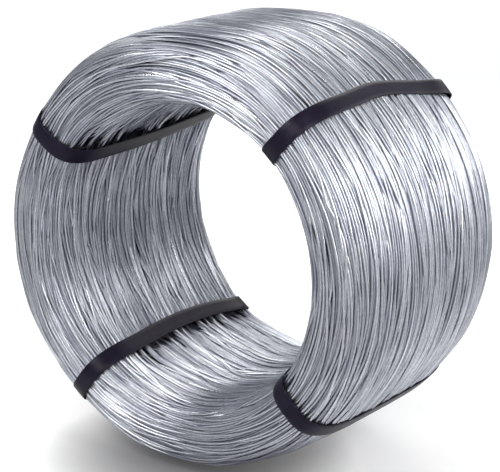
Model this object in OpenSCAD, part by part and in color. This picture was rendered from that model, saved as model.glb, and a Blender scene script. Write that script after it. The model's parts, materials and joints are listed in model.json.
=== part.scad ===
// Strapped coil of drawn steel wire, standing on its rim.
// The bore runs along Y, and the origin is on the floor under the middle of the coil.

/* [Coil] */
// Diameter of the bore, left by the former that the wire was wound on
bore_d = 275; // [200:1:400]
// Depth of the wire wound on the former, from the bore to the rim
wall = 67.5; // [45:0.5:100]
// Width of the coil along its axis
coil_w = 242; // [180:1:320]
// Straight stretch of the rim, between its rounded shoulders
rim_land = 80; // [20:1:160]
// Straight stretch of the bore, between its rounded mouths
bore_land = 130; // [60:1:160]
// Fullness of the rounded corners: 2 is an ellipse, and more is squarer
corner_power = 3; // [2:0.1:4]

/* [Wire] */
// Diameter of the wire
wire_d = 2.5; // [2:0.1:6]
// Turns that lie together in a bundle
bundle_turns = 5; // [3:1:9]
// How far the turns at a bundle's edges lie below those in its middle
bundle_drop = 0.9; // [0:0.1:1.5]

/* [Straps] */
// Width of the strapping
strap_w = 16; // [10:0.5:25]
// Thickness of the strapping
strap_t = 0.5; // [0.3:0.05:1.2]
// Clearance between a strap and the turns under it
strap_seat = 0.1; // [0.1:0.05:0.5]
// Length of the welded lap, where the two ends of a strap join
strap_lap = 34; // [15:1:45]
// Length over which the lapped end comes down onto the strap
strap_ramp = 9; // [4:1:12]
// Angle of the upper left strap round the coil, from +X towards +Z
upper_left_angle = 144; // [110:1:165]
// Angle of the upper right strap
upper_right_angle = 46; // [20:1:75]
// Angle of the lower left strap
lower_left_angle = 232; // [200:1:245]
// Angle of the lower right strap
lower_right_angle = 318; // [295:1:340]
// Slant of the upper left strap from a square lay
upper_left_slant = -4.5; // [-8:0.5:8]
// Slant of the upper right strap
upper_right_slant = -3.5; // [-8:0.5:8]
// Slant of the lower left strap
lower_left_slant = -0.5; // [-8:0.5:8]
// Slant of the lower right strap
lower_right_slant = -2; // [-8:0.5:8]

/* [Hidden] */

bore_r = bore_d / 2;
outer_r = bore_r + wall;
mid_r = (outer_r + bore_r) / 2;

// The coil's section, as points [radius, place along the axis]. It runs from the middle of the rim down
// the near end, through the bore and up the far end, with a rounded corner in each quarter.
corner_step = 2;

function corner_point(t, land, side, end) = [
    mid_r + side * wall / 2 * pow(sin(t), 2 / corner_power),
    end * (land / 2 + (coil_w - land) / 2 * pow(cos(t), 2 / corner_power))
];

outline = concat(
    [[outer_r, 0]],
    [for (t = [90:-corner_step:0]) corner_point(t, rim_land, 1, -1)],
    [for (t = [corner_step:corner_step:90]) corner_point(t, bore_land, -1, -1)],
    [for (t = [90:-corner_step:0]) corner_point(t, bore_land, -1, 1)],
    [for (t = [corner_step:corner_step:90]) corner_point(t, rim_land, 1, 1)]
);
corners = len(outline);

// How far each point lies along the outline, and the way back from a distance to a point
travel = [for (i = 0, s = 0; i <= corners;
    s = s + norm(outline[(i + 1) % corners] - outline[i % corners]), i = i + 1) s];
girth = travel[corners];
far_end = girth - travel[1 + 90 / corner_step];
radius_at = [for (i = [0:corners]) [travel[i], outline[i % corners][0]]];
place_at = [for (i = [0:corners]) [travel[i], outline[i % corners][1]]];

function on_outline(s) =
    let (wrapped = s - girth * floor(s / girth))
    [lookup(wrapped, radius_at), lookup(wrapped, place_at)];

// The direction straight out of the section at a distance along the outline
function outward(s) =
    let (run = on_outline(s + wire_d / 4) - on_outline(s - wire_d / 4))
    [-run[1], run[0]] / norm(run);

function raised(s, height) = on_outline(s) + height * outward(s);

// Each turn that shows is drawn as three sides of an eight-sided wire, laid against the next turn
turns = round(girth / wire_d);
pitch = girth / turns;
crown = pitch * tan(22.5);
groove = (pitch - crown) / 2;

// A turn lies lower towards the edges of its bundle, but along the bore the former kept every turn level
function bundle_fall(k) =
    let (aside = 2 * (k % bundle_turns) / (bundle_turns - 1) - 1)
    bundle_drop * aside * aside;

function on_former(s) = on_outline(s)[0] < mid_r && abs(on_outline(s)[1]) <= bore_land / 2;

function crown_fall(k) = on_former((k + 0.5) * pitch) ? 0 : bundle_fall(k);

turn_points = [for (k = [0:turns - 1]) each [
    raised(k * pitch, -groove - (bundle_fall(k + turns - 1) + bundle_fall(k)) / 2),
    raised((k + 0.5) * pitch - crown / 2, -crown_fall(k)),
    raised((k + 0.5) * pitch + crown / 2, -crown_fall(k))
]];

// A strap follows the outline at its seat, and its second layer lies over the middle of the far end
strap_low = strap_seat;
strap_high = strap_seat + strap_t;
lap_high = strap_high + strap_t;

lap_from = far_end - strap_lap / 2;
lap_to = far_end + strap_lap / 2;
lap_foot = lap_to + strap_ramp;
lap_steps = 12;
ramp_steps = 4;

strap_inside = [for (i = [0:corners - 1]) raised(travel[i], strap_low)];
strap_outside = concat(
    [for (i = [0:corners - 1]) if (travel[i] < lap_from) raised(travel[i], strap_high)],
    [raised(lap_from, strap_high)],
    [for (i = [0:lap_steps]) raised(lap_from + strap_lap * i / lap_steps, lap_high)],
    [for (i = [1:ramp_steps]) raised(lap_to + strap_ramp * i / ramp_steps, lap_high - strap_t * i / ramp_steps)],
    [for (i = [0:corners - 1]) if (travel[i] > lap_foot) raised(travel[i], strap_high)]
);

// Lays a section along Y, round the coil's axis
module round_the_axis(sweep) {
    rotate([-90, 0, 0])
        rotate([0, 0, -sweep / 2])
            rotate_extrude(angle = sweep, $fn = 180)
                children();
}

module strap_section() {
    difference() {
        polygon(strap_outside);
        polygon(strap_inside);
    }
}

// One strap, cut to its width from the layer that wraps the coil's section
module strap(angle, slant) {
    half_reach = strap_w + coil_w / 2 * tan(abs(slant));
    sweep = 2 * atan(half_reach / (bore_r - lap_high));
    color("#1d1d20")
        translate([0, 0, outer_r])
            rotate([0, -angle, 0])
                intersection() {
                    round_the_axis(sweep) strap_section();
                    translate([mid_r, 0, 0])
                        rotate([slant, 0, 0])
                            cube([2 * wall, 2 * coil_w, strap_w], center = true);
                }
}

module wire_coil() {
    color("#b7babf")
        translate([0, 0, outer_r])
            round_the_axis(360)
                polygon(turn_points);
}

module strap_upper_left() {
    strap(upper_left_angle, upper_left_slant);
}

module strap_upper_right() {
    strap(upper_right_angle, upper_right_slant);
}

module strap_lower_left() {
    strap(lower_left_angle, lower_left_slant);
}

module strap_lower_right() {
    strap(lower_right_angle, lower_right_slant);
}

wire_coil();
strap_upper_left();
strap_upper_right();
strap_lower_left();
strap_lower_right();
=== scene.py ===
import bpy
import json
import numpy as np
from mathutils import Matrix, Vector


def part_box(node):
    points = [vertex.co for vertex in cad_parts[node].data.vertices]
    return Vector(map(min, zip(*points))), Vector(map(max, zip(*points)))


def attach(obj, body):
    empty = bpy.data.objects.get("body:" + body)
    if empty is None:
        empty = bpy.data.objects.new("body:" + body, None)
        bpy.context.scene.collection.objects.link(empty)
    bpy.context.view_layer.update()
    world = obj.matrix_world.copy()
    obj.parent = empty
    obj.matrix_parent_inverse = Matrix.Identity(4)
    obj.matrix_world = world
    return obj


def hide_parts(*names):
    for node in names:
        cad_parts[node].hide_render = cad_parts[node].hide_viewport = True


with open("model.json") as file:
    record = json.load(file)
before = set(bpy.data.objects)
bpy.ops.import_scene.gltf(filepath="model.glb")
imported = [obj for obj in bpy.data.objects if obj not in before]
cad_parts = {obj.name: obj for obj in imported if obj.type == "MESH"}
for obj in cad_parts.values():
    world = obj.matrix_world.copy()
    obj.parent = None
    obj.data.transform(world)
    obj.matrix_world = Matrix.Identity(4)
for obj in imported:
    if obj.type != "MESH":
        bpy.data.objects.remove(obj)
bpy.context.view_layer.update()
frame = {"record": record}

# The inner layers. One length of galvanized steel wire is wound on a former, so the bore is straight along
# its middle, and the tied coil settles into a rounded section, whose outline places every piece below. Deep
# under the turns that show, the wound wire is one body, ridged by its turns, in zinc painted dark as shade.
coil_low, coil_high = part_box("wire_coil")
coil_w = coil_high.y - coil_low.y
rim_r = (coil_high.z - coil_low.z) / 2
bore_r = frame["record"]["mounts"][0]["dims"]["r_mm"] / 1000
axis_z = (coil_low.z + coil_high.z) / 2
wall = rim_r - bore_r
mid_r = (rim_r + bore_r) / 2
rim_land = 0.080
bore_land = 0.130
corner_power = 3.0
corner_points = 91
wire_d = 0.0025


def corner(bend, land, side, end):
    fullness = 2 / corner_power
    radius = mid_r + side * wall / 2 * np.sin(bend) ** fullness
    along = end * (land / 2 + (coil_w - land) / 2 * np.clip(np.cos(bend), 0, 1) ** fullness)
    return np.stack([radius, along], axis=1)


# The outline runs from the middle of the rim down the near end, through the bore and up the far end. A place
# on it is given by s, its distance along the outline.
opening = np.linspace(0, np.pi / 2, corner_points)
outline = np.concatenate([
    [[rim_r, 0.0]],
    corner(opening[::-1], rim_land, 1, -1),
    corner(opening[1:], bore_land, -1, -1),
    corner(opening[::-1], bore_land, -1, 1),
    corner(opening[1:], rim_land, 1, 1),
])
steps = np.linalg.norm(np.roll(outline, -1, axis=0) - outline, axis=1)
girth = steps.sum()
travel = np.concatenate([[0.0], np.cumsum(steps)])
near_end = travel[corner_points]
far_end = girth - near_end


def on_outline(s):
    radius = np.interp(s % girth, travel, np.append(outline[:, 0], outline[0, 0]))
    along = np.interp(s % girth, travel, np.append(outline[:, 1], outline[0, 1]))
    return radius, along


def outward(s, reach=0.0015):
    radius_a, along_a = on_outline(s - reach)
    radius_b, along_b = on_outline(s + reach)
    run = np.hypot(radius_b - radius_a, along_b - along_a)
    return -(along_b - along_a) / run, (radius_b - radius_a) / run


def place_on_coil(angle, s, height):
    radius, along = on_outline(s)
    out_radius, out_along = outward(s)
    radius = radius + height * out_radius
    along = along + height * out_along
    x = radius * np.cos(angle)
    z = axis_z + radius * np.sin(angle)
    return np.stack([x, np.broadcast_to(along, x.shape), z], axis=-1)


# Shader maths. A tone is a socket of a finish's nodes: sums on tones add Math nodes, and make() adds any
# other node from its type, its settings and its sockets' values or links.
class Tone:
    def __init__(self, tree, socket=None):
        self.tree = tree
        self.socket = socket

    def make(self, kind, settings=None, sockets=None, out=0):
        node = self.tree.nodes.new(kind)
        for name, value in (settings or {}).items():
            setattr(node, name, value)
        for name, value in (sockets or {}).items():
            if isinstance(value, Tone):
                self.tree.links.new(value.socket, node.inputs[name])
            else:
                node.inputs[name].default_value = value
        return Tone(self.tree, node.outputs[out] if len(node.outputs) else None)

    def other(self, name):
        return Tone(self.tree, self.socket.node.outputs[name])

    def math(self, operation, a, b, clamp=False):
        return self.make("ShaderNodeMath", {"operation": operation, "use_clamp": clamp}, {0: a, 1: b})

    def __add__(self, other):
        return self.math("ADD", self, other)

    __radd__ = __add__

    def __mul__(self, other):
        return self.math("MULTIPLY", self, other)

    __rmul__ = __mul__

    def __sub__(self, other):
        return self.math("SUBTRACT", self, other)

    def __rsub__(self, other):
        return self.math("SUBTRACT", other, self)

    def at_least(self, other):
        return self.math("MAXIMUM", self, other)

    def clamped(self):
        return self.math("ADD", self, 0.0, clamp=True)

    def blend(self, low, high):
        mixed = {"data_type": "RGBA", "clamp_factor": True}
        return self.make("ShaderNodeMix", mixed, {0: self, 6: low, 7: high}, out=2)


def new_finish(name):
    material = bpy.data.materials.new(name)
    material.use_nodes = True
    tree = material.node_tree
    tree.nodes.clear()
    return material, Tone(tree)


def painted(tones, attribute):
    return tones.make("ShaderNodeAttribute", {"attribute_name": attribute}, out="Fac")


def noise(tones, place, scale, detail, roughness=0.5):
    sockets = {"Vector": place, "Scale": scale, "Detail": detail, "Roughness": roughness}
    return tones.make("ShaderNodeTexNoise", {}, sockets)


def coat(tones, sockets):
    shader = tones.make("ShaderNodeBsdfPrincipled", {}, sockets)
    tones.make("ShaderNodeOutputMaterial", {}, {"Surface": shader})


# The wire's finish. Bright zinc, drawn smooth: single turns and streaks of turns are brighter or duller than
# the next, with patches of oxide along them, and the turns that lie deep get a painted shade and some dust.
turn_share = 0.7
patch_share = 0.9
dull_level = 0.9
deep_shade_share = 1.1
dull_roughness = 0.16
grit_roughness = 0.08
deep_roughness = 0.2


def zinc_finish(name, bright, dull, deep_shade, polish):
    material, tones = new_finish(name)
    turn_tone = painted(tones, "turn_tone")
    turn_depth = painted(tones, "turn_depth")
    place = tones.make("ShaderNodeTexCoord", out="Object")
    oxide = noise(tones, place, scale=46.0, detail=4.0, roughness=0.6)
    fleck = noise(tones, place, scale=340.0, detail=2.0)
    grit = noise(tones, place, scale=900.0, detail=2.0)
    shine = (turn_tone * turn_share + oxide * patch_share + fleck * patch_share - dull_level).clamped()
    # Turns that lie deep blend to the deep colour: painted shade, with some dust.
    colour = (turn_depth * deep_shade_share).clamped().blend(shine.blend(dull, bright), deep_shade)
    roughness = polish + (1 - shine) * dull_roughness + grit * grit_roughness + turn_depth * deep_roughness
    relief = tones.make("ShaderNodeBump", {}, {
        "Height": fleck * 0.8 + grit * 0.2,
        "Strength": 0.5,
        "Distance": 0.0004,
    })
    coat(tones, {"Base Color": colour, "Metallic": 1.0, "Roughness": roughness, "Normal": relief})
    return material


def smooth_mesh(name, points, faces, material):
    mesh = bpy.data.meshes.new(name)
    mesh.from_pydata(points.reshape(-1, 3).tolist(), [], faces.tolist())
    mesh.polygons.foreach_set("use_smooth", [True] * len(mesh.polygons))
    mesh.materials.append(material)
    mesh.update()
    piece = bpy.data.objects.new(name, mesh)
    bpy.context.collection.objects.link(piece)
    return piece


def closed_grid(rows, columns, first=0):
    row, column = np.meshgrid(np.arange(rows), np.arange(columns), indexing="ij")
    next_row = (row + 1) % rows
    next_column = (column + 1) % columns
    quads = [row * columns + column, next_row * columns + column,
             next_row * columns + next_column, row * columns + next_column]
    return np.stack(quads, axis=-1).reshape(-1, 4) + first


# The body lies well below the turns that show, in zinc painted dark as shade, and its ridges stand for the
# turns of its surface.
pack_depth = 0.0125
pack_turns = 130
pack_stations = 120
pack_ridge = [-wire_d / 2, 0.0, 0.0]
pack_angle = np.linspace(0, 2 * np.pi, pack_stations, endpoint=False)
pack_s = np.linspace(0, girth, pack_turns * len(pack_ridge), endpoint=False)
pack_height = np.tile(pack_ridge, pack_turns) - pack_depth
pack_points = place_on_coil(pack_angle[:, None], pack_s[None, :], pack_height[None, :])
pack_shaded_zinc = zinc_finish(
    "shaded_wire",
    bright=(0.16, 0.16, 0.18, 1),
    dull=(0.10, 0.10, 0.12, 1),
    deep_shade=(0.05, 0.05, 0.06, 1),
    polish=0.5,
)
inner_layers = smooth_mesh("inner_layers", pack_points, closed_grid(pack_stations, len(pack_s)), pack_shaded_zinc)
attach(inner_layers, "root")
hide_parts("wire_coil")

# The turns that show. Each is one round of the galvanized wire. A tied coil is never laid evenly: bundles of
# turns drift along the surface, close up and open gaps. So each layer of turns follows its own field of slow
# waves, whole round the coil both ways.
least_wave = 0.4


def drift_field(seed, waves, across, around, size):
    rng = np.random.default_rng(seed)
    return {
        "across": rng.integers(across[0], across[1] + 1, waves) * rng.choice([-1, 1], waves),
        "around": rng.integers(around[0], around[1] + 1, waves),
        "phase": rng.uniform(0, 2 * np.pi, waves),
        "size": size * rng.uniform(least_wave, 1.0, waves) / np.sqrt(waves),
    }


def drift(field, angle, s):
    total = np.zeros(np.broadcast(angle, s).shape)
    for across, around, phase, size in zip(field["across"], field["around"], field["phase"], field["size"]):
        total += size * np.cos(across * 2 * np.pi * s / girth + around * angle + phase)
    return total


# The straps' lay, which the turns pass under: each one's angle round the coil and its slant from a square
# lay, in degrees, and where hand tying left it bowed. A bow is a place on the outline, a reach and a size.
end_to_corner = 0.045
rim_middle = 0.0
bore_middle = girth / 2
far_mouth = far_end - end_to_corner
far_shoulder = far_end + end_to_corner
strap_lay = {
    "strap_upper_left": {"angle": 144.0, "slant": -4.5, "bows": [
        (bore_middle, 0.070, 0.0050),
    ]},
    "strap_upper_right": {"angle": 46.0, "slant": -3.5, "bows": [
        (rim_middle, 0.045, 0.0070),
        (near_end, 0.050, -0.0050),
        (far_shoulder, 0.030, -0.0040),
    ]},
    "strap_lower_left": {"angle": 232.0, "slant": -0.5, "bows": [
        (bore_middle, 0.060, -0.0045),
        (far_mouth, 0.030, 0.0045),
    ]},
    "strap_lower_right": {"angle": 318.0, "slant": -2.0, "bows": [
        (rim_middle, 0.080, -0.0045),
    ]},
}


def from_place(s, place):
    return (s - place + girth / 2) % girth - girth / 2


def strap_aside(name, s, along):
    aside = along * np.tan(np.radians(strap_lay[name]["slant"]))
    for place, reach, size in strap_lay[name]["bows"]:
        aside = aside + size * np.exp(-(from_place(s, place) / reach) ** 2)
    return aside


def turned_from(angle, middle):
    return (np.degrees(angle) - middle + 180) % 360 - 180


def from_strap(name, angle, s):
    radius, along = on_outline(s)
    skew = np.degrees(strap_aside(name, s, along) / radius)
    return turned_from(angle, strap_lay[name]["angle"] + skew)


def eased(share):
    share = np.clip(share, 0, 1)
    return share * share * (3 - 2 * share)


# Between the straps the loose turns swell out. Each strap holds the turns beside it, and the coil's weight
# presses them flat where it rests on the floor. All of these angles are in degrees.
bulge = 0.0018
held_by_strap = 4.5
free_of_strap = 24.0
floor_angle = 270.0
free_of_floor = 16.0


def swell(angle, s):
    loose = eased(np.abs(turned_from(angle, floor_angle)) / free_of_floor)
    for name in strap_lay:
        beyond = np.abs(from_strap(name, angle, s)) - held_by_strap
        loose = np.minimum(loose, eased(beyond / (free_of_strap - held_by_strap)))
    return bulge * loose


# Tying has drawn the coil out of round: its top has a dip, and between the two lower straps its foot and its
# near shoulder are pulled in. It still rests on the straight middle of the rim. A window gives the angles at
# which a pull opens, is full, fades and closes.
dip_depth = 0.0060
dip_angle = 90.0
dip_reach = 15.0
shoulder_depth = 0.0020
shoulder_window = (225, 258, 276, 300)
shoulder_from = 0.040
shoulder_full = 0.085
foot_depth = 0.0062
foot_window = (272, 292, 298, 322)
foot_from = 0.045
foot_run = 0.085
foot_far_share = 0.3


def within(angle, window):
    opens, full, fades, closes = window
    turned = np.degrees(angle) % 360
    return eased((turned - opens) / (full - opens)) * eased((closes - turned) / (closes - fades))


def drawn_in(angle, s):
    radius, along = on_outline(s)
    dip = dip_depth * np.exp(-(turned_from(angle, dip_angle) / dip_reach) ** 2)
    near = eased((-along - shoulder_from) / (shoulder_full - shoulder_from))
    shoulder = shoulder_depth * near * within(angle, shoulder_window)
    toward_near = foot_far_share + (1 - foot_far_share) * eased((foot_from - along) / foot_run)
    foot = foot_depth * toward_near * within(angle, foot_window)
    return (dip + shoulder + foot) * eased(2 * (radius - mid_r) / wall)


# In the bore the straps press the turns into bundles, and on one side of three straps the gaps between the
# bundles stay open: dark notches with their base at the strap, closing to a point along the wire. Each strap
# has its notches' longest reach in degrees, with its side as the sign, and the first place along Y.
notch_depth = 0.0085
notch_lay = {
    "strap_upper_left": (-15.0, -0.125),
    "strap_lower_left": (11.0, -0.090),
    "strap_lower_right": (8.0, -0.130),
}
notch_field = drift_field(seed=41, waves=60, across=(28, 60), around=(0, 0), size=1.0)
notch_length = 0.42
notch_spread = 0.9
notch_point = 0.22
notch_base = 2.0
notch_start = 0.035
under_strap = 3.0
under_strap_rise = 4.0
mouth_share = 0.1
mouth_rise = 2.4


def notches(angle, s):
    radius, along = on_outline(s)
    inside = eased(mouth_rise * (mid_r - radius) / wall + mouth_share)
    length = np.clip(notch_length + notch_spread * drift(notch_field, 0.0, s), 0, 1)
    deepest = np.zeros(np.broadcast(angle, s).shape)
    for name, (reach, first_along) in notch_lay.items():
        beyond = np.sign(reach) * from_strap(name, angle, s)
        gap = eased((length - np.clip(beyond - notch_base, 0, None) / abs(reach)) / notch_point)
        gap = gap * eased((along - first_along) / notch_start)
        gap = gap * eased((beyond + under_strap) / under_strap_rise)
        deepest = np.maximum(deepest, gap)
    return notch_depth * deepest * inside


# On the ends and in the bore the turns also lie in loose bundles, with shallow grooves between them.
groove_field = drift_field(seed=57, waves=50, across=(40, 75), around=(0, 3), size=0.0024)
groove_edge = 0.022
groove_rim_share = 0.25


def grooves(angle, s):
    radius, along = on_outline(s)
    clear_of_rim = eased((rim_r - radius) / groove_edge)
    depth = np.clip(drift(groove_field, angle, s), 0, None)
    return depth * (groove_rim_share + (1 - groove_rim_share) * clear_of_rim)


# The winding. The lower turns lie close, and the upper turns lie over them at a slight slant, as wound wire
# crosses. Each turn strays a little by itself, and all of them are then settled against each other.
turn_stations = 160
turn_angle = np.linspace(0, 2 * np.pi, turn_stations, endpoint=False)
turn_rng = np.random.default_rng(7)
start_scatter = 0.1 * wire_d
level_scatter = 0.2 * wire_d
stray_waves = 7
stray_fall = 0.6


def wound(count, field, height, stray):
    start = (np.arange(count) + 0.5) * girth / count + turn_rng.normal(0, start_scatter, count)
    start = start[:, None]
    s = start + drift(field, turn_angle, start)
    for wave in range(1, stray_waves + 1):
        size = turn_rng.normal(0, stray / wave ** stray_fall, count)[:, None]
        phase = turn_rng.uniform(0, 2 * np.pi, count)[:, None]
        s = s + size * np.cos(wave * turn_angle + phase)
    level = height + turn_rng.normal(0, level_scatter, count)[:, None]
    return s, np.broadcast_to(level, s.shape)


def stiffened(path):
    return path / 2 + (np.roll(path, 1, axis=1) + np.roll(path, -1, axis=1)) / 4


settle_rounds = 90
rounds_per_limit = 8
neighbours = (1, 2, 3, 4)
push_share = 0.3
least_gap = 1e-7
inward_pull = 0.02 * wire_d
sink_limit = 1.15 * wire_d


def settle(s, level):
    """Pushes apart turns that touch, pulls all of them inward, and keeps each one smooth, round by round."""
    for settle_round in range(settle_rounds):
        if settle_round % rounds_per_limit == 0:
            top = swell(turn_angle, s) - drawn_in(turn_angle, s) - wire_d / 2
            top -= notches(turn_angle, s) + grooves(turn_angle, s)
        order = np.argsort(s, axis=0)
        s_row = np.take_along_axis(s, order, axis=0)
        level_row = np.take_along_axis(level, order, axis=0)
        push_s = np.zeros_like(s)
        push_level = np.zeros_like(s)
        for apart in neighbours:
            gap_s = np.roll(s_row, -apart, axis=0) - s_row
            gap_s[-apart:] += girth
            gap_level = np.roll(level_row, -apart, axis=0) - level_row
            gap = np.hypot(gap_s, gap_level) + least_gap
            bite = push_share * np.clip(wire_d - gap, 0, None) / gap
            push_s += np.roll(bite * gap_s, apart, axis=0) - bite * gap_s
            push_level += np.roll(bite * gap_level, apart, axis=0) - bite * gap_level
        np.put_along_axis(s_row, order, push_s, axis=0)
        np.put_along_axis(level_row, order, push_level, axis=0)
        s = stiffened(s + s_row)
        level = stiffened(level + level_row - inward_pull)
        level = np.clip(level, top - sink_limit, top)
    return s, level


lower_pitch = 1.10 * wire_d
upper_pitch = 1.12 * wire_d
lower_count = int(girth / lower_pitch)
upper_count = int(girth / upper_pitch)
lower_field = drift_field(seed=11, waves=70, across=(4, 40), around=(1, 4), size=0.0035)
upper_field = drift_field(seed=23, waves=70, across=(3, 34), around=(1, 5), size=0.0060)
lower_s, lower_level = wound(lower_count, lower_field, height=-1.5 * wire_d, stray=0.0008)
upper_s, upper_level = wound(upper_count, upper_field, height=-0.5 * wire_d, stray=0.0022)
turn_s, turn_level = settle(
    np.concatenate([lower_s, upper_s]),
    np.concatenate([lower_level, upper_level]),
)

# The turns' meshes and tones. Each turn has its own tone of zinc, and streaks of brighter and duller turns
# run round the coil. A turn is painted darker, as shade and dust, as it sinks below the surface.
turn_tone = turn_rng.uniform(0, 1, lower_count + upper_count)
streak_field = drift_field(seed=67, waves=60, across=(28, 80), around=(0, 3), size=0.45)
dark_from = 0.7 * wire_d
dark_run = 0.006
wire_zinc = zinc_finish(
    "galvanized_wire",
    bright=(0.75, 0.765, 0.82, 1),
    dull=(0.37, 0.385, 0.445, 1),
    deep_shade=(0.12, 0.125, 0.165, 1),
    polish=0.22,
)


def turn_tubes(s, level, angle, sides):
    centre = place_on_coil(angle, s, level)
    out_radius, out_along = outward(s)
    out = np.stack([out_radius * np.cos(angle), out_along, out_radius * np.sin(angle)], axis=-1)
    ahead = np.roll(centre, -1, axis=1) - np.roll(centre, 1, axis=1)
    ahead /= np.linalg.norm(ahead, axis=-1, keepdims=True)
    side = np.cross(ahead, out)
    side /= np.linalg.norm(side, axis=-1, keepdims=True)
    lift = np.cross(side, ahead)
    spin = np.linspace(0, 2 * np.pi, sides, endpoint=False)[:, None]
    ring = np.cos(spin) * lift[:, :, None, :] + np.sin(spin) * side[:, :, None, :]
    return centre[:, :, None, :] + wire_d / 2 * ring


def paint(piece, attribute, values):
    layer = piece.data.attributes.new(attribute, "FLOAT", "POINT")
    layer.data.foreach_set("value", values.astype(np.float32))


def lay_turns(name, chosen, every, sides):
    angle = turn_angle[::every]
    s = turn_s[chosen][:, ::every]
    level = turn_level[chosen][:, ::every]
    points = turn_tubes(s, level, angle, sides)
    each = len(angle) * sides
    faces = np.concatenate([closed_grid(len(angle), sides, k * each) for k in range(len(s))])
    piece = smooth_mesh(name, points, faces, wire_zinc)
    tone = turn_tone[chosen][:, None] + drift(streak_field, angle, s)
    # Depth below the surface sets each turn's painted shade.
    depth = np.clip((-dark_from - level) / dark_run, 0, 1)
    paint(piece, "turn_tone", np.repeat(tone.ravel(), sides))
    paint(piece, "turn_depth", np.repeat(depth.ravel(), sides))
    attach(piece, "root")
    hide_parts("wire_coil")


def parted(middle):
    """Sorts the turns by where they show: rim, near end, bore and far end."""
    end_reach = wall / 3
    rim = (middle < near_end - end_reach) | (middle > far_end + end_reach)
    near = np.abs(middle - near_end) <= end_reach
    far = np.abs(middle - far_end) <= end_reach
    return {"rim": rim, "near_end": near, "bore": ~(rim | near | far), "far_end": far}


is_upper = np.arange(lower_count + upper_count) >= lower_count
for where, chosen in parted(turn_s.mean(axis=1) % girth).items():
    lay_turns(f"lower_turns_{where}", chosen & ~is_upper, every=2, sides=5)
    lay_turns(f"upper_turns_{where}", chosen & is_upper, every=1, sides=6)

# The straps. Flat black plastic strapping, drawn tight round the coil's section, its two ends lapped and
# welded on the far end. Each band follows the outline at its seat, with soft edges and fine drawn lines, and
# the upper right one stands off the turns a little over its far shoulder.
strap_w = 0.016
strap_t = 0.0005
strap_seat = 0.0001
strap_edge = 0.00025
strap_lap = 0.034
strap_ramp = 0.009
strap_stations = 360
stand_off_height = {"strap_upper_right": 0.0042}
stand_off_reach = 0.020
line_phase = 88.0
clean_black = (0.006, 0.004, 0.013, 1)
dusty_black = (0.018, 0.015, 0.031, 1)
dust_gain = 1.6
dust_level = 0.62
strap_roughness = 0.30
scuff_roughness = 0.16
line_roughness = 0.06


def strapping_finish():
    material, tones = new_finish("black_strapping")
    across = painted(tones, "strap_across")
    place = tones.make("ShaderNodeTexCoord", out="Object")
    scuff = noise(tones, place, scale=60.0, detail=5.0, roughness=0.62)
    grain = noise(tones, place, scale=700.0, detail=2.0)
    lines = tones.make("ShaderNodeMath", {"operation": "SINE"}, {0: across * line_phase}) * 0.5 + 0.5
    dusty = (scuff * dust_gain - dust_level).clamped()
    relief = tones.make("ShaderNodeBump", {}, {
        "Height": lines * 0.6 + grain * 0.4,
        "Strength": 0.25,
        "Distance": 0.0002,
    })
    coat(tones, {
        "Base Color": dusty.blend(clean_black, dusty_black),
        "Roughness": strap_roughness + scuff * scuff_roughness + lines * line_roughness,
        "Normal": relief,
        "Specular IOR Level": 0.15,
    })
    return material


strap_black = strapping_finish()

# The band's section: each point's place across the band and its height, in thicknesses above the seat.
strap_half = strap_w / 2
strap_section = [
    (-strap_half, 0.0),
    (-strap_half, 0.6),
    (strap_edge - strap_half, 1.0),
    (-strap_half / 2, 1.06),
    (0.0, 1.09),
    (strap_half / 2, 1.06),
    (strap_half - strap_edge, 1.0),
    (strap_half, 0.6),
    (strap_half, 0.0),
    (strap_half - strap_edge, -0.1),
    (strap_edge - strap_half, -0.1),
]


def strap_band(name):
    s = np.linspace(0, girth, strap_stations, endpoint=False)
    lay_angle = np.radians(strap_lay[name]["angle"])
    slant = np.radians(strap_lay[name]["slant"])
    loft = stand_off_height.get(name, 0.0) * np.exp(-((s - far_shoulder) / stand_off_reach) ** 2)
    loft = loft - drawn_in(lay_angle, s)
    from_lap = from_place(s, far_end)
    lap = np.clip((strap_lap / 2 + strap_ramp - from_lap) / strap_ramp, 0, 1) * (from_lap > -strap_lap / 2)
    radius, along = on_outline(s)
    out_radius, out_along = outward(s)
    rows = []
    for across, level in strap_section:
        height = strap_seat + strap_t * level + strap_t * lap * (level > 0) + loft
        row_radius = radius + height * out_radius
        row_along = along + height * out_along
        aside = strap_aside(name, s, row_along) + across / np.cos(slant)
        reach = np.sqrt(row_radius ** 2 - aside ** 2)
        x = reach * np.cos(lay_angle) - aside * np.sin(lay_angle)
        z = axis_z + reach * np.sin(lay_angle) + aside * np.cos(lay_angle)
        rows.append(np.stack([x, row_along, z], axis=-1))
    faces = closed_grid(strap_stations, len(strap_section))[:, ::-1]
    band = smooth_mesh(name + "_band", np.stack(rows, axis=1), faces, strap_black)
    share = np.array([across / strap_w for across, level in strap_section])
    paint(band, "strap_across", np.tile(share, strap_stations))
    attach(band, "root")
    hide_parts(name)


for name in strap_lay:
    strap_band(name)

# The floor. A plain pale floor, grey at the sides, with a white lane of it running away behind the coil as
# the photograph shows it, and a painted shadow on it under the coil.
view_azimuth = np.radians(35.67)
view_elevation = np.radians(15.88)
floor_reach = 30.0
floor_grey = (0.40, 0.40, 0.41, 1)
floor_white = (0.85, 0.85, 0.86, 1)
lane_level = 1.78
lane_side_fall = 2.8
lane_widening = 0.45
lane_front_level = 1.25
lane_front_rise = 3.0
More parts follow.
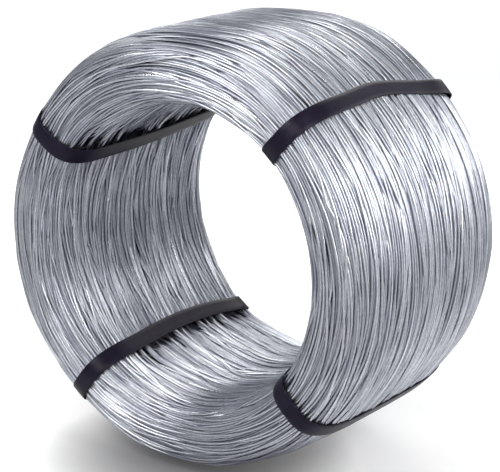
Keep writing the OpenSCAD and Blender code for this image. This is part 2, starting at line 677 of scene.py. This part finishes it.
# A painted shadow: the floor's colour darkens to this grey round a middle under the coil, out to its reach.
shade_middle = (-0.016, -0.064, 0)
shade_core = 0.030
shade_reach = 0.152
painted_shadow_grey = (0.14, 0.14, 0.15, 1)
lane_glow = 0.95
lane_glow_level = 0.10
lane_glow_rise = 0.34
clear_glow = 0.08
far_glow = 0.5
far_rise = 0.7
far_level = 0.4
floor_mesh = bpy.data.meshes.new("floor")
floor_corners = [
    (-floor_reach, -floor_reach, 0),
    (floor_reach, -floor_reach, 0),
    (floor_reach, floor_reach, 0),
    (-floor_reach, floor_reach, 0),
]
floor_mesh.from_pydata(floor_corners, [], [(0, 1, 2, 3)])
floor = bpy.data.objects.new("floor", floor_mesh)
bpy.context.collection.objects.link(floor)


def floor_finish():
    material, tones = new_finish("white_floor")
    place = tones.make("ShaderNodeTexCoord", out="Object")

    def measured(operation, *direction):
        sockets = dict(enumerate((place, *direction)))
        return tones.make("ShaderNodeVectorMath", {"operation": operation}, sockets, out="Value")

    behind = measured("DOT_PRODUCT", (-np.sin(view_azimuth), np.cos(view_azimuth), 0))
    aside = measured("DOT_PRODUCT", (np.cos(view_azimuth), np.sin(view_azimuth), 0))
    aside = tones.make("ShaderNodeMath", {"operation": "ABSOLUTE"}, {0: aside})
    lane = (lane_level - aside * lane_side_fall + behind * lane_widening).clamped()
    lane = lane * (behind * lane_front_rise + lane_front_level).clamped()
    clear = measured("DISTANCE", shade_middle)
    clear = ((clear - shade_core) * (1 / (shade_reach - shade_core))).clamped()
    far = (measured("LENGTH") * far_rise - far_level).clamped()
    path = tones.make("ShaderNodeLightPath")
    seen = path.other("Is Camera Ray") + path.other("Is Glossy Ray") + path.other("Is Transmission Ray")
    lane_lit = (behind * lane_glow_rise + lane_glow_level).clamped()
    glow = lane * (lane_lit * lane_glow + clear * clear_glow)
    glow = (seen.clamped() * glow.at_least(far * far_glow)).clamped()
    coat(tones, {
        # The floor's colour carries the painted shadow under the coil.
        "Base Color": (clear * clear).blend(painted_shadow_grey, lane.blend(floor_grey, floor_white)),
        "Roughness": 1.0,
        "Specular IOR Level": 0.0,
        "Emission Color": glow.blend((0, 0, 0, 1), (1, 1, 1, 1)),
        "Emission Strength": 1.0,
    })
    return material


floor_mesh.materials.append(floor_finish())

# The light: a dim blue room and large soft lamps all round, each given by its direction from the coil, its
# width and height, and its power.
world = bpy.data.worlds.new("studio")
world.use_nodes = True
world.node_tree.nodes.clear()
air = Tone(world.node_tree)
room = air.make("ShaderNodeBackground", {}, {"Color": (0.64, 0.79, 1.0, 1), "Strength": 0.12})
air.make("ShaderNodeOutputWorld", {}, {"Surface": room})
bpy.context.scene.world = world

coil_middle = Vector((0, 0, axis_z))
lamp_distance = 1.5
lamp_white = (1.0, 0.985, 0.95)


def softbox(name, toward, size, power):
    lamp = bpy.data.lights.new(name, "AREA")
    lamp.shape = "RECTANGLE"
    lamp.size, lamp.size_y = size
    lamp.energy = power
    lamp.color = lamp_white
    box = bpy.data.objects.new(name, lamp)
    box.location = coil_middle + Vector(toward).normalized() * lamp_distance
    box.rotation_mode = "QUATERNION"
    box.rotation_quaternion = Vector(toward).to_track_quat("Z", "Y")
    bpy.context.collection.objects.link(box)


softbox("softbox_front", (-0.24, -0.74, 0.63), (1.0, 0.8), 18.5)
softbox("softbox_right", (0.90, -0.12, 0.40), (0.7, 1.1), 16.5)
softbox("softbox_right_front", (0.50, -0.72, 0.49), (0.7, 0.7), 7.0)
softbox("softbox_back", (0.50, 0.78, 0.33), (1.0, 0.6), 6.0)
softbox("softbox_left", (-0.72, 0.36, 0.58), (0.8, 0.7), 3.8)
softbox("softbox_left_back", (-0.27, 0.80, 0.52), (0.9, 0.9), 9.5)

# The camera, at the photograph's viewing angle. Its aim is given right of and above the coil's middle.
view_distance = 1.6424
view_aim = (0.00025, -0.00406)
back = Vector((
    np.sin(view_azimuth) * np.cos(view_elevation),
    -np.cos(view_azimuth) * np.cos(view_elevation),
    np.sin(view_elevation),
))
right = Vector((np.cos(view_azimuth), np.sin(view_azimuth), 0))
up = back.cross(right)
lens = bpy.data.cameras.new("camera")
lens.sensor_width = 36
lens.lens = 125.94
camera = bpy.data.objects.new("camera", lens)
camera.location = coil_middle + back * view_distance
gaze = coil_middle + right * view_aim[0] + up * view_aim[1] - camera.location
camera.rotation_mode = "QUATERNION"
camera.rotation_quaternion = gaze.to_track_quat("-Z", "Y")
bpy.context.collection.objects.link(camera)
bpy.context.scene.camera = camera
bpy.context.scene.view_settings.view_transform = "Standard"
